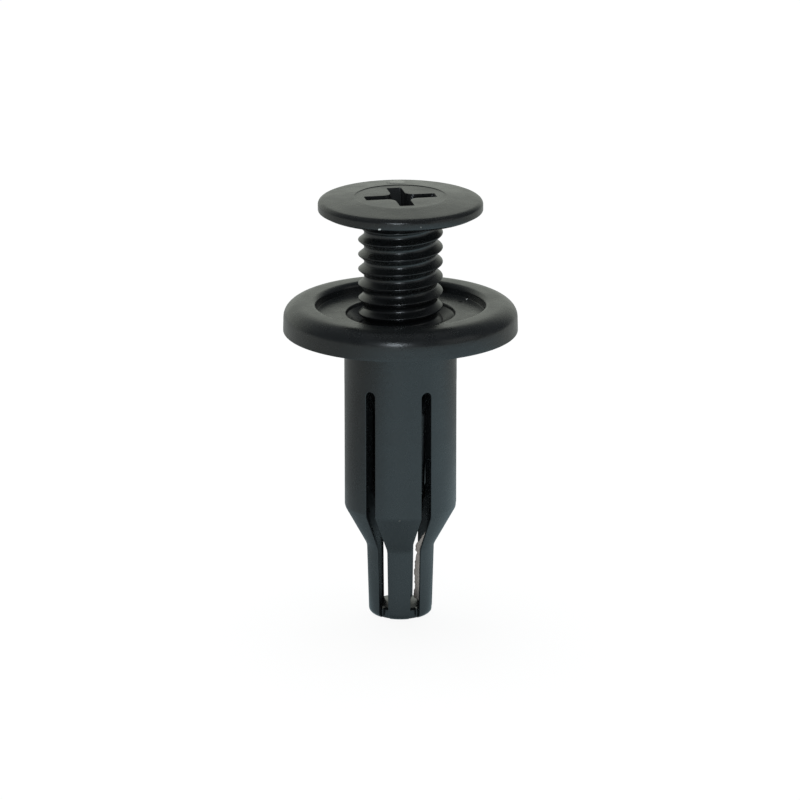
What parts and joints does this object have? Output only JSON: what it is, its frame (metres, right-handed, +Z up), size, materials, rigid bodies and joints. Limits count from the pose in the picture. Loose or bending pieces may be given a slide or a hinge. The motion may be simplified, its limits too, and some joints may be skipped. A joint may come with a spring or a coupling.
{
  "type": "plastic rivet",
  "caption": "Two-piece plastic rivet: a slotted sleeve with a dished flange, and a cross-recessed threaded screw driven down into it to hold panels.",
  "frame": {"origin": "centre of the flange's underside, on the axis, where the rivet seats on the panel", "axes": "+Z up along the common axis, out of the panel towards the screw's head; +X lies 7.5 degrees from the middle of one slot, towards +Y"},
  "size_m": [0.02, 0.02, 0.0371],
  "materials": {
    "sleeve_nylon": "satin moulded black nylon",
    "screw_nylon": "satin moulded black nylon"
  },
  "bodies": {
    "sleeve": {"sleeve": "sleeve_nylon"},
    "screw": {"screw": "screw_nylon"}
  },
  "joints": [
    {"name": "screw_travel", "type": "slide", "parent": "sleeve", "child": "screw", "axis": [0, 0, 1], "range_m": [-0.0088, 0.0045]}
  ]
}
